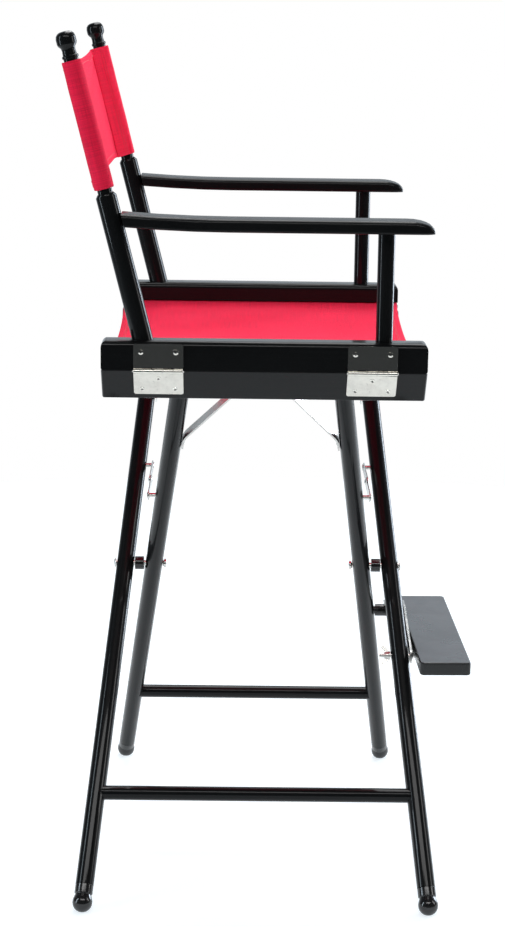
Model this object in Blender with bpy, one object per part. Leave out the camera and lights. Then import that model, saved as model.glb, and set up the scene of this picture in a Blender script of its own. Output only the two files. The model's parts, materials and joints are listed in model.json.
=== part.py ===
"""Tall folding director's chair with a footrest, opened out.

Metres, +Z up, the sitter faces -Y and sits between the arms, left is +X. Two crossed leg frames turn
about one axis along Y. The outer frame carries the left rail and arm, the inner frame the right ones.
"""

from math import asin, atan, cos, pi, radians, sin, sqrt, tan

import bmesh
import bpy
from mathutils import Matrix, Vector

for old in list(bpy.data.objects):
    bpy.data.objects.remove(old, do_unlink=True)

# Sizes that drive the rest, in metres.
CENTRE_Y = 0.0168          # shift along Y that puts the outline's middle on the origin
GAP = 0.0003               # space between touching pieces
OVERALL_HEIGHT = 1.168
PIVOT_Z = 0.406            # height of the axis where the leg frames cross
PIVOT_BORE = 0.0041
FOOT_X = 0.308             # where a leg's line meets the floor, from the middle
LEG_RADIUS = 0.0125
OUTER_FOOT_Y = 0.2355       # half the front-to-back spread of the outer legs, at the floor
OUTER_SPLAY = 0.1085       # how much the half spread shrinks for each metre of height
INNER_FOOT_Y = 0.208
INNER_SPLAY = 0.1424
FOOT_RADIUS = 0.0138
FOOT_BALL_Z = 0.0115       # height of the foot's ball centre
FOOT_CAP = 0.0235          # from the ball centre to the leg's end
OUTER_STRETCHER_Z = 0.133
INNER_STRETCHER_Z = 0.143
STRETCHER_RADIUS = 0.010
SOCKET = 0.008             # how deep a stretcher sits in a leg
LEG_SOCKET = 0.014         # how deep a leg sits in its rail
POST_SOCKET = 0.016        # how deep a post sits in its rail
TENON = 0.025              # how deep an upper post sits in its lower post

RAIL_OUT_X = 0.292         # outer face of the rails
RAIL_TOP_Z = 0.780
RAIL_HEIGHT = 0.038
RAIL_WIDTH = 0.038
RAIL_FRONT_Y = -0.212
RAIL_REAR_Y = 0.208
LOWER_FACE = 0.054         # height of the lower rail's outer face, along its slope
LOWER_DEPTH = 0.048        # thickness of the lower rail, square to that face
GROOVE_Z = 0.751           # seat groove
GROOVE_DEPTH = 0.012
GROOVE_RADIUS = 0.006
SEAT_DOWEL_RADIUS = 0.0038
SEAT_SAG = 0.012
SEAT_INSET = 0.001         # from the rails' ends to the canvas's edges
CLOTH = 0.0012

POST_Y = 0.155             # back post's axis at the top of the rail
POST_TOP_Y = 0.254         # and at the very top
ARM_POST_Y = -0.156
LOWER_POST_RADIUS = 0.0135
LOWER_POST_TOP_Z = 0.966
UPPER_POST_RADIUS = 0.0095
ARM_POST_RADIUS = 0.011
ARM_TOP_Z = 0.9375
ARM_THICK = 0.0165
ARM_WIDTH = 0.048
ARM_NOSE_Y = -0.216
ARM_RISE = 0.005           # how far the arm curves up at its rear end
BACK_LOW_Z = 0.972         # back canvas, measured on the posts' axis
BACK_TOP_Z = 1.131

HINGE_WIDTH = 0.064
REAR_HINGE_Y = 0.134
FRONT_HINGE_Y = -0.141
LEAF_THICK = 0.0018
KNUCKLE_RADIUS = 0.0033
PIN_RADIUS = 0.0015
LEAF_HEIGHTS = {"upper": 0.031, "lower": 0.041}
LEAF_SCREWS = {            # share of the leaf's width from its middle, and of its height
    "upper": ((-0.35, 0.66), (0.35, 0.66)),
    "lower": ((-0.335, 0.76), (0.335, 0.76), (0, 0.27)),
}
LEAF_SCREW_RADIUS = 0.0036

FOOTREST_TOP_Z = 0.311
FOOTREST_THICK = 0.019
FOOTREST_LENGTH = 0.333
FOOTREST_DEPTH = 0.071
FOOTREST_YAW = radians(1.4)
FOOTREST_NEAR_Y = -0.2618  # the board's centre line at its right end
BRACKET_THICK = 0.003
FOOTREST_BOLT_Z = 0.296
PEG_Z = 0.319
PEG_RADIUS = 0.009
STAY_Z = 0.530             # where the lock stays are pinned to the legs
STAY_WIDTH = 0.014
STAY_THICK = 0.0015
STAY_PLANES = {"outer": 0.1555, "inner": 0.1535}   # each link's face, from the middle
STAY_BORE = 0.0032
BOLT_BORE = 0.00308        # a close hole on a 6 mm bolt
BRACE_WIDTH = 0.013
BRACE_THICK = 0.0025
BRACE_FOOT_Z = 0.628       # where a brace leaves its leg
BRACE_REACH = 0.080        # how far inboard of the leg it meets the rail
BRACE_PLATE = 0.016        # length of the flat at each end
BRACE_SCREW_RADIUS = 0.004

LEAN = atan(FOOT_X / PIVOT_Z)                        # a leg's angle from upright
RAIL_BOTTOM_Z = RAIL_TOP_Z - RAIL_HEIGHT
RAIL_X = RAIL_OUT_X - RAIL_WIDTH / 2
HINGE_X = RAIL_OUT_X + (KNUCKLE_RADIUS + GAP) / cos(LEAN)
HINGE_Z = RAIL_BOTTOM_Z - GAP / 2
POST_LEAN = atan((POST_TOP_Y - POST_Y) / (OVERALL_HEIGHT - RAIL_TOP_Z))
SIDES = {"left": 1, "right": -1}
FRAMES = {
    "outer": (1, OUTER_FOOT_Y, OUTER_SPLAY, OUTER_STRETCHER_Z),
    "inner": (-1, INNER_FOOT_Y, INNER_SPLAY, INNER_STRETCHER_Z),
}
ENDS = {"rear": 1, "front": -1}

WOOD = (0.012, 0.012, 0.014)
RED = (0.72, 0.02, 0.05)
PLATE = (0.72, 0.72, 0.70)
DARK_PLATE = (0.16, 0.19, 0.19)
PLASTIC = (0.01, 0.01, 0.011)


def material(name, colour, metal, rough):
    made = bpy.data.materials.new(name)
    made.use_nodes = True
    shader = made.node_tree.nodes["Principled BSDF"]
    shader.inputs["Base Color"].default_value = (*colour, 1.0)
    shader.inputs["Metallic"].default_value = metal
    shader.inputs["Roughness"].default_value = rough
    return made


LOOKS = {
    "wood": (WOOD, 0.0, 0.2),
    "cloth": (RED, 0.0, 0.8),
    "plated": (PLATE, 1.0, 0.3),
    "dark_plated": (DARK_PLATE, 1.0, 0.2),
    "plastic": (PLASTIC, 0.0, 0.25),
}


def add_screw_head(bm, start, direction, radius):
    """A low domed head, sunk a little into the plate that it holds."""
    profile = [(-0.0003, radius), (0.0004, radius * 0.95), (0.0011, radius * 0.45)]
    add_lathe(bm, start, direction, profile, 10)


def node(name, bm, look, pivot=(0, 0, 0), smooth=0.6):
    """Turns a bmesh into one named object, with its origin at pivot."""
    bmesh.ops.recalc_face_normals(bm, faces=bm.faces)
    for face in bm.faces:
        face.smooth = True
    for edge in bm.edges:
        if len(edge.link_faces) == 2 and edge.calc_face_angle() > smooth:
            edge.smooth = False
    origin = Vector(pivot) + Vector((0, CENTRE_Y, 0))
    bmesh.ops.translate(bm, verts=bm.verts, vec=Vector((0, CENTRE_Y, 0)) - origin)
    mesh = bpy.data.meshes.new(name)
    bm.to_mesh(mesh)
    bm.free()
    made = bpy.data.objects.new(name, mesh)
    made.location = origin
    bpy.context.collection.objects.link(made)
    mesh.materials.append(material(name, *LOOKS[look]))
    return made


def combine(target, bm, how):
    """Cuts a bmesh from an object, or joins it on."""
    cutter = node(target.name + "_" + how.lower() + str(len(target.modifiers)), bm, "plastic")
    cutter.hide_render = True
    cutter.display_type = "WIRE"
    change = target.modifiers.new(how.lower(), "BOOLEAN")
    change.operation = how
    change.object = cutter
    change.solver = "EXACT"


def axis_matrix(start, direction):
    """A matrix that carries the Z axis onto a line from start along direction."""
    turn = Vector(direction).normalized().to_track_quat("Z", "Y").to_matrix().to_4x4()
    return Matrix.Translation(start) @ turn


def add_lathe(bm, start, direction, profile, sides=28):
    """A turned solid: profile is (distance along the axis, radius), first and last radius may be 0."""
    place = axis_matrix(start, direction)
    rings = []
    for along, radius in profile:
        if radius == 0:
            rings.append([bm.verts.new(place @ Vector((0, 0, along)))])
            continue
        ring = []
        for i in range(sides):
            angle = 2 * pi * i / sides
            ring.append(bm.verts.new(place @ Vector((radius * cos(angle), radius * sin(angle), along))))
        rings.append(ring)
    for low, high in zip(rings, rings[1:]):
        for i in range(sides):
            j = (i + 1) % sides
            if len(low) == 1:
                bm.faces.new((low[0], high[j], high[i]))
            elif len(high) == 1:
                bm.faces.new((low[i], low[j], high[0]))
            else:
                bm.faces.new((low[i], low[j], high[j], high[i]))
    if len(rings[0]) > 1:
        bm.faces.new(list(reversed(rings[0])))
    if len(rings[-1]) > 1:
        bm.faces.new(rings[-1])
    return bm


def add_bore(bm, start, direction, radius, length, sides=28):
    """A plain round bar, for cutting a hole."""
    return add_lathe(bm, start, direction, [(0, radius), (length, radius)], sides)


def rod(start, end, radius, sides=28):
    """A round bar between two points."""
    start, end = Vector(start), Vector(end)
    return add_bore(bmesh.new(), start, end - start, radius, (end - start).length, sides)


def add_box(bm, low, high):
    """An axis-aligned box."""
    middle = (Vector(low) + Vector(high)) / 2
    size = Vector(high) - Vector(low)
    made = bmesh.ops.create_cube(bm, size=1.0)["verts"]
    bmesh.ops.scale(bm, vec=size, verts=made)
    bmesh.ops.translate(bm, vec=middle, verts=made)
    return made


def add_prism(bm, outline, sweep):
    """A solid from a flat outline of points, swept along a vector."""
    first = [bm.verts.new(Vector(p)) for p in outline]
    last = [bm.verts.new(Vector(p) + Vector(sweep)) for p in outline]
    bm.faces.new(list(reversed(first)))
    bm.faces.new(last)
    for i in range(len(outline)):
        j = (i + 1) % len(outline)
        bm.faces.new((first[i], first[j], last[j], last[i]))


def add_ribbon(bm, path, width, thick):
    """A bent strip: path is its centre line, width the vector across it."""
    path = [Vector(p) for p in path]
    width = Vector(width)
    rows = []
    for i, point in enumerate(path):
        before = path[max(i - 1, 0)]
        after = path[min(i + 1, len(path) - 1)]
        into = (point - before).normalized() if i else (after - point).normalized()
        out = (after - point).normalized() if i < len(path) - 1 else into
        along = (into + out).normalized()
        normal = along.cross(width).normalized()
        half = normal * thick / 2 / max(along.dot(into), 0.5)
        corners = ((1, 1), (1, -1), (-1, -1), (-1, 1))
        rows.append([bm.verts.new(point + a * half + b * width / 2) for a, b in corners])
    for low, high in zip(rows, rows[1:]):
        for i in range(4):
            j = (i + 1) % 4
            bm.faces.new((low[i], low[j], high[j], high[i]))
    bm.faces.new(list(reversed(rows[0])))
    bm.faces.new(rows[-1])


def bevel(bm, radius, segments, pick):
    """Rounds the edges that pick accepts; it is given the edge's two end points."""
    chosen = [e for e in bm.edges if pick(e.verts[0].co, e.verts[1].co)]
    bmesh.ops.bevel(bm, geom=chosen, offset=radius, segments=segments, profile=0.5, affect="EDGES")


def arc(centre, radius, start, end, count, plane):
    """Points on a circle in a plane given by two unit vectors, angles in degrees."""
    centre = Vector(centre)
    across, up = Vector(plane[0]), Vector(plane[1])
    points = []
    for i in range(count + 1):
        angle = radians(start + (end - start) * i / count)
        points.append(centre + across * radius * cos(angle) + up * radius * sin(angle))
    return points


def leg_point(frame, end, z, across=0.0):
    """A point on a leg's axis at height z; across moves it along X."""
    side, foot_y, splay, _ = FRAMES[frame]
    x = side * (z - PIVOT_Z) * tan(LEAN) + across
    return Vector((x, ENDS[end] * (foot_y - splay * z), z))


def leg_direction(frame, end):
    return (leg_point(frame, end, 1.0) - leg_point(frame, end, 0.0)).normalized()


def frame_up(frame):
    """The direction along a leg frame, square to Y."""
    return Vector((FRAMES[frame][0] * sin(LEAN), 0, cos(LEAN)))


def post_point(side, z):
    """A point on a back post's axis."""
    return Vector((SIDES[side] * RAIL_X, POST_Y + (z - RAIL_TOP_Z) * tan(POST_LEAN), z))


def lower_rail_outline(side):
    """The lower rail's section: its outer face runs along the legs, its top lies under the upper rail."""
    s = SIDES[side]
    down = Vector((-s * sin(LEAN), 0, -cos(LEAN)))
    inward = Vector((-s * cos(LEAN), 0, sin(LEAN)))
    a = Vector((s * RAIL_OUT_X, 0, RAIL_BOTTOM_Z - GAP))
    b = a + down * LOWER_FACE
    c = b + inward * LOWER_DEPTH
    d = c - down * ((a.z - c.z) / cos(LEAN))
    return [a, b, c, d]


def make_leg(frame, end):
    direction = leg_direction(frame, end)
    ball = leg_point(frame, end, FOOT_BALL_Z)
    corner = lower_rail_outline("left" if frame == "outer" else "right")[1]
    up = frame_up(frame)
    reach = (corner - ball).dot(up) / direction.dot(up) + LEG_SOCKET
    bm = rod(ball + direction * (FOOT_CAP + GAP), ball + direction * reach, LEG_RADIUS)
    leg = node(frame + "_leg_" + end, bm, "wood")
    inner = leg_point(frame, end, FRAMES[frame][3])
    across = Vector((0, ENDS[end], 0))
    floor = LEG_RADIUS - SOCKET
    socket = rod(inner - across * floor, inner - across * 0.05, STRETCHER_RADIUS + GAP, 24)
    combine(leg, socket, "DIFFERENCE")
    pivot = leg_point(frame, end, PIVOT_Z)
    combine(leg, rod(pivot - across * 0.05, pivot + across * 0.05, PIVOT_BORE, 16), "DIFFERENCE")
    foot = bmesh.new()
    profile = [(-FOOT_RADIUS, 0.0)]
    for i in range(1, 8):
        angle = pi * i / 11
        profile.append((-FOOT_RADIUS * cos(angle), FOOT_RADIUS * sin(angle)))
    profile += [(0.0105, 0.0108), (0.0115, LEG_RADIUS), (FOOT_CAP, LEG_RADIUS)]
    add_lathe(foot, ball, direction, profile, 16)
    bmesh.ops.bisect_plane(foot, geom=foot.verts[:] + foot.edges[:] + foot.faces[:], plane_co=(0, 0, 0),
                           plane_no=(0, 0, -1), clear_outer=True)
    bmesh.ops.holes_fill(foot, edges=[e for e in foot.edges if e.is_boundary])
    node(frame + "_foot_" + end, foot, "plastic")


def make_frame(frame):
    side, _, _, stretcher_z = FRAMES[frame]
    rail_side = "left" if side == 1 else "right"
    for end in ENDS:
        make_leg(frame, end)
    rear = leg_point(frame, "rear", stretcher_z)
    front = leg_point(frame, "front", stretcher_z)
    hidden = Vector((0, LEG_RADIUS - SOCKET + GAP, 0))
    node(frame + "_stretcher", rod(rear - hidden, front + hidden, STRETCHER_RADIUS, 24), "wood")

    bm = bmesh.new()
    start = Vector((0, RAIL_FRONT_Y, 0))
    add_prism(bm, [p + start for p in lower_rail_outline(rail_side)], (0, RAIL_REAR_Y - RAIL_FRONT_Y, 0))
    bmesh.ops.recalc_face_normals(bm, faces=bm.faces)
    corner = lower_rail_outline(rail_side)[1]
    bevel(bm, 0.0025, 2, lambda p, q: min(p.z, q.z) < RAIL_BOTTOM_Z - 0.002)
    rail = node(rail_side + "_lower_rail", bm, "wood")
    for end in ENDS:
        direction = leg_direction(frame, end)
        at = leg_point(frame, end, corner.z)
        up = frame_up(frame)
        reach = (corner - at).dot(up) / direction.dot(up) + LEG_SOCKET + GAP
        combine(rail, rod(at - direction * 0.04, at + direction * reach, LEG_RADIUS + GAP), "DIFFERENCE")
        make_brace(frame, end, corner)


def make_brace(frame, end, rail_corner):
    """A plated strip from the inner side of a leg to the underside of the lower rail."""
    side = "left" if frame == "outer" else "right"
    up = frame_up(frame)
    inward = Vector((0, -ENDS[end], 0))
    across = Vector((-FRAMES[frame][0] * cos(LEAN), 0, sin(LEAN)))
    splay = -inward * FRAMES[frame][2] * cos(LEAN)
    foot = leg_point(frame, end, BRACE_FOOT_Z)
    low = foot + inward * (LEG_RADIUS + 2 * GAP + BRACE_THICK / 2)
    seat = (rail_corner - foot).dot(up) - GAP - BRACE_THICK / 2
    path = [low + (splay - up) * BRACE_PLATE, low]
    for reach, height in ((0.004, 0.008), (BRACE_REACH - 0.004, seat - 0.004), (BRACE_REACH, seat),
                          (BRACE_REACH + BRACE_PLATE, seat)):
        path.append(low + inward * reach + up * height)
    bm = bmesh.new()
    add_ribbon(bm, path, across * BRACE_WIDTH, BRACE_THICK)
    brace = node(side + "_brace_" + end, bm, "plated")
    screws = bmesh.new()
    on_leg = low + (splay - up) * BRACE_PLATE / 2 + inward * BRACE_THICK / 2
    under_rail = low + inward * (BRACE_REACH + BRACE_PLATE / 2) + up * (seat - BRACE_THICK / 2)
    add_screw_head(screws, on_leg, inward, BRACE_SCREW_RADIUS)
    add_screw_head(screws, under_rail, -up, BRACE_SCREW_RADIUS)
    combine(brace, screws, "UNION")


def make_hinge(side, end):
    """A butt hinge: two leaves with rolled knuckles, and a pin."""
    s = SIDES[side]
    middle = REAR_HINGE_Y if end == "rear" else FRONT_HINGE_Y
    axis = Vector((s * HINGE_X, middle, HINGE_Z))
    segment = HINGE_WIDTH / 5
    down = Vector((-s * sin(LEAN), 0, -cos(LEAN)))
    out_low = Vector((s * cos(LEAN), 0, -sin(LEAN)))
    roll = (KNUCKLE_RADIUS + PIN_RADIUS + 0.00008) / 2
    wall = KNUCKLE_RADIUS - PIN_RADIUS - 0.00008
    faces = {
        "upper": (Vector((s, 0, 0)), Vector((0, 0, 1)),
                  Vector((s * RAIL_OUT_X, middle, RAIL_BOTTOM_Z)), (0, 2, 4)),
        "lower": (out_low, down, Vector((s * RAIL_OUT_X, middle, RAIL_BOTTOM_Z - GAP)), (1, 3)),
    }
    for level, (out, along, corner, mine) in faces.items():
        base = corner + out * (GAP + LEAF_THICK / 2)
        start = (axis - base).dot(along) + KNUCKLE_RADIUS + 0.0006
        bm = bmesh.new()
        height = LEAF_HEIGHTS[level]
        low = base + along * start
        high = base + along * (start + height)
        outline = []
        for y, edge in ((-1, low), (1, low), (1, high), (-1, high)):
            outline.append(edge + Vector((0, y * HINGE_WIDTH / 2, 0)) - out * LEAF_THICK / 2)
        add_prism(bm, outline, out * LEAF_THICK)
        bevel(bm, 0.003, 3, lambda p, q: abs((p - q).dot(out)) > LEAF_THICK * 0.9
              and (p - low).dot(along) > height / 2)
        leaf = node(side + "_" + level + "_leaf_" + end, bm, "dark_plated" if level == "upper" else "plated")
        curls = bmesh.new()
        offset = (base - axis).dot(out)
        begin = asin(max(-1, min(1, offset / roll)))
        for index in mine:
            y = -HINGE_WIDTH / 2 + segment * (index + 0.5)
            shift = Vector((0, y, 0))
            path = [base + shift + along * (start + 0.003), base + shift + along * (start - 0.0002)]
            centre = axis + shift
            for i in range(12):
                angle = begin + radians(16) - radians(27.8) * i
                path.append(centre + along * roll * cos(angle) + out * roll * sin(angle))
            add_ribbon(curls, path, (0, segment - 2 * GAP, 0), wall)
        combine(leaf, curls, "UNION")
        screws = bmesh.new()
        for y, share in LEAF_SCREWS[level]:
            at = low + along * height * share + Vector((0, y * HINGE_WIDTH, 0)) + out * LEAF_THICK / 2
            add_screw_head(screws, at, out, LEAF_SCREW_RADIUS)
        combine(leaf, screws, "UNION")
    reach = Vector((0, HINGE_WIDTH / 2 + 0.0012, 0))
    node(side + "_hinge_pin_" + end, rod(axis - reach, axis + reach, PIN_RADIUS - 0.00012, 16), "plated")


def make_upper_rail(side):
    s = SIDES[side]
    bm = bmesh.new()
    add_box(bm, (min(s * RAIL_OUT_X, s * (RAIL_OUT_X - RAIL_WIDTH)), RAIL_FRONT_Y, RAIL_BOTTOM_Z),
            (max(s * RAIL_OUT_X, s * (RAIL_OUT_X - RAIL_WIDTH)), RAIL_REAR_Y, RAIL_TOP_Z))
    bevel(bm, 0.0085, 4, lambda p, q: min(p.z, q.z) > RAIL_TOP_Z - 0.0001)
    bevel(bm, 0.0025, 2, lambda p, q: max(p.z, q.z) < RAIL_BOTTOM_Z + 0.0001 and abs(p.x - q.x) > 0.01)
    rail = node(side + "_upper_rail", bm, "wood")
    bore_x = RAIL_OUT_X - RAIL_WIDTH + GROOVE_DEPTH
    plane = ((s, 0, 0), (0, 0, 1))
    opening = 0.002
    bore = arc((s * bore_x, RAIL_FRONT_Y - 0.01, GROOVE_Z), GROOVE_RADIUS, 180 - 19.5, -180 + 19.5, 14, plane)
    inner = s * (RAIL_OUT_X - RAIL_WIDTH - 0.01)
    slot = [Vector((inner, RAIL_FRONT_Y - 0.01, GROOVE_Z + z)) for z in (-opening, opening)]
    cut = bmesh.new()
    add_prism(cut, bore + slot, (0, RAIL_REAR_Y - RAIL_FRONT_Y + 0.02, 0))
    combine(rail, cut, "DIFFERENCE")
    sockets = bmesh.new()
    along = (post_point(side, 1) - post_point(side, 0)).normalized()
    foot = post_point(side, RAIL_TOP_Z)
    add_bore(sockets, foot - along * POST_SOCKET, along, LOWER_POST_RADIUS + GAP, 0.05)
    front = Vector((s * RAIL_X, ARM_POST_Y, RAIL_TOP_Z))
    add_bore(sockets, front - Vector((0, 0, POST_SOCKET)), (0, 0, 1), ARM_POST_RADIUS + GAP, 0.03)
    combine(rail, sockets, "DIFFERENCE")
    dowel = rod((s * bore_x, RAIL_FRONT_Y + 0.004, GROOVE_Z), (s * bore_x, RAIL_REAR_Y - 0.004, GROOVE_Z),
                SEAT_DOWEL_RADIUS, 16)
    node(side + "_seat_dowel", dowel, "wood")


def make_posts(side):
    s = SIDES[side]
    along = (post_point(side, 1) - post_point(side, 0)).normalized()
    foot = post_point(side, RAIL_TOP_Z) - along * (POST_SOCKET - GAP)
    top = post_point(side, LOWER_POST_TOP_Z)
    length = (top - foot).length
    lower = bmesh.new()
    profile = [(0, LOWER_POST_RADIUS), (length - 0.004, LOWER_POST_RADIUS),
               (length, LOWER_POST_RADIUS - 0.003)]
    add_lathe(lower, foot, along, profile)
    post = node(side + "_back_post", lower, "wood")
    socket = bmesh.new()
    add_bore(socket, top - along * TENON, along, UPPER_POST_RADIUS + GAP, 0.05)
    combine(post, socket, "DIFFERENCE")
    upper = bmesh.new()
    start = top - along * (TENON - GAP)
    tip = post_point(side, OVERALL_HEIGHT)
    end = (tip - start).length - 0.0011
    knob = 0.0128
    profile = [
        (0, UPPER_POST_RADIUS), (end - 0.034, UPPER_POST_RADIUS),
        (end - 0.0335, 0.0106), (end - 0.0305, 0.0106),
        (end - 0.030, 0.0092), (end - 0.024, 0.0086), (end - 0.0205, 0.0092), (end - 0.0175, knob - 0.001),
        (end - 0.015, knob), (end - 0.0085, knob),
        (end - 0.0045, knob - 0.0011), (end - 0.0018, knob - 0.0036),
        (end - 0.0004, 0.006), (end, 0),
    ]
    add_lathe(upper, start, along, profile)
    node(side + "_upper_post", upper, "wood")
    arm = bmesh.new()
    low = Vector((s * RAIL_X, ARM_POST_Y, RAIL_TOP_Z - POST_SOCKET + GAP))
    high = Vector((s * RAIL_X, ARM_POST_Y, ARM_TOP_Z - ARM_THICK + 0.006 - GAP))
    add_lathe(arm, low, (0, 0, 1), [(0, ARM_POST_RADIUS), ((high - low).length, ARM_POST_RADIUS)])
    node(side + "_arm_post", arm, "wood")


def make_armrest(side):
    """Lofted along Y: rounded sections, a nose that falls to its tip, a rear end that rises to the post."""
    s = SIDES[side]
    middle = s * (RAIL_X + 0.005)
    bottom = ARM_TOP_Z - ARM_THICK
    nose = 0.034
    rows = []
    count = 7
    for i in range(count):
        t = i / (count - 1)
        y = ARM_NOSE_Y + nose * (1 - cos(pi / 2 * t))
        drop = (ARM_THICK - 0.0035) * (1 - sin(pi / 2 * t))
        half = ARM_WIDTH / 2 - 0.010 * (1 - sqrt(max(0.0, 1 - (1 - min(1, (y - ARM_NOSE_Y) / 0.014)) ** 2)))
        rows.append((y, half, bottom, ARM_TOP_Z - drop))
    rear_y = post_point(side, ARM_TOP_Z).y - LOWER_POST_RADIUS / cos(POST_LEAN) - 0.0008
    for i in range(1, 9):
        t = i / 8
        y = ARM_NOSE_Y + nose + (rear_y - ARM_NOSE_Y - nose) * t
        rise = ARM_RISE * max(0.0, (t - 0.62) / 0.38) ** 2
        rows.append((y, ARM_WIDTH / 2, bottom + rise, ARM_TOP_Z + rise))
    bm = bmesh.new()
    rings = []
    corner = 3
    for y, half, low, high in rows:
        ring = []
        top_radius = min(0.006, (high - low) * 0.45)
        low_radius = min(0.003, (high - low) * 0.3)
        quarters = ((1, 1, top_radius, 0), (-1, 1, top_radius, 90), (-1, -1, low_radius, 180),
                    (1, -1, low_radius, 270))
        for cx, cz, radius, start in quarters:
            centre_x = cx * (half - radius)
            centre_z = (high - radius) if cz > 0 else (low + radius)
            for k in range(corner + 1):
                angle = radians(start + 90 * k / corner)
                x = middle + centre_x + radius * cos(angle)
                z = centre_z + radius * sin(angle)
                lean = (z - ARM_TOP_Z) * tan(POST_LEAN) * max(0.0, (y - 0.05) / (rear_y - 0.05))
                ring.append(bm.verts.new((x, y + lean, z)))
        rings.append(ring)
    for low, high in zip(rings, rings[1:]):
        for i in range(len(low)):
            j = (i + 1) % len(low)
            bm.faces.new((low[i], low[j], high[j], high[i]))
    bm.faces.new(rings[0])
    bm.faces.new(list(reversed(rings[-1])))
    arm = node(side + "_armrest", bm, "wood")
    hole = bmesh.new()
    add_bore(hole, (s * RAIL_X, ARM_POST_Y, bottom - 0.02), (0, 0, 1), ARM_POST_RADIUS + GAP, 0.026)
    combine(arm, hole, "DIFFERENCE")


def make_canvases():
    bore_x = RAIL_OUT_X - RAIL_WIDTH + GROOVE_DEPTH
    loop = SEAT_DOWEL_RADIUS + GAP + CLOTH / 2
    plane = ((1, 0, 0), (0, 0, 1))
    right = arc((-bore_x, 0, GROOVE_Z), loop, 62, 350, 12, plane)
    left = [Vector((-p.x, p.y, p.z)) for p in reversed(right)]
    span = RAIL_OUT_X - RAIL_WIDTH - 0.002
    middle = []
    steps = 14
    for i in range(steps + 1):
        x = -span + 2 * span * i / steps
        middle.append(Vector((x, 0, GROOVE_Z - SEAT_SAG * (1 - (x / span) ** 2))))
    y = (RAIL_REAR_Y + RAIL_FRONT_Y) / 2
    path = [p + Vector((0, y, 0)) for p in list(right) + middle + left]
    bm = bmesh.new()
    add_ribbon(bm, path, (0, RAIL_REAR_Y - RAIL_FRONT_Y - 2 * SEAT_INSET, 0), CLOTH)
    node("seat_canvas", bm, "cloth", smooth=1.2)

    along = (post_point("left", 1) - post_point("left", 0)).normalized()
    back = Vector((0, cos(POST_LEAN), -sin(POST_LEAN)))
    low, high = post_point("left", BACK_LOW_Z), post_point("left", BACK_TOP_Z)
    centre = (low + high) / 2
    loop = UPPER_POST_RADIUS + 0.0006 + CLOTH / 2
    plane = ((1, 0, 0), back)
    turn = arc(Vector((-RAIL_X, centre.y, centre.z)), loop, 62, -270, 20, plane)
    path = turn + [Vector((-p.x, p.y, p.z)) for p in reversed(turn)]
    bm = bmesh.new()
    add_ribbon(bm, path, along * (high - low).length, CLOTH)
    node("back_canvas", bm, "cloth", smooth=1.2)


def make_pivots():
    for end, sign in ENDS.items():
        outer = leg_point("outer", end, PIVOT_Z)
        inner = leg_point("inner", end, PIVOT_Z)
        y_out = abs(outer.y)
        y_in = abs(inner.y)
        low = y_in + LEG_RADIUS + 0.0018
        high = y_out - LEG_RADIUS - 0.0015
        spacer = bmesh.new()
        add_lathe(spacer, (0, sign * low, PIVOT_Z), (0, sign, 0), [(0, 0.0095), (high - low, 0.0095)])
        bore = bmesh.new()
        add_bore(bore, (0, sign * (low - 0.01), PIVOT_Z), (0, sign, 0), PIVOT_BORE, high - low + 0.02, 16)
        combine(node("pivot_spacer_" + end, spacer, "plastic"), bore, "DIFFERENCE")
        bolt = bmesh.new()
        head = y_out + LEG_RADIUS + 0.0012
        tail = y_in - LEG_RADIUS - 0.0014
        nut = 0.0042
        end_at = nut + head - tail
        profile = [(0, 0.006), (0.0016, 0.0066), (0.0034, 0.0066), (nut, 0.004), (end_at, 0.004),
                   (end_at, 0.0075), (end_at + 0.0012, 0.0072), (end_at + 0.0026, 0.005),
                   (end_at + 0.0031, 0)]
        add_lathe(bolt, (0, sign * (tail - nut), PIVOT_Z), (0, sign, 0), profile, 16)
        node("pivot_bolt_" + end, bolt, "plated", pivot=(0, sign * y_out, PIVOT_Z))


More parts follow.
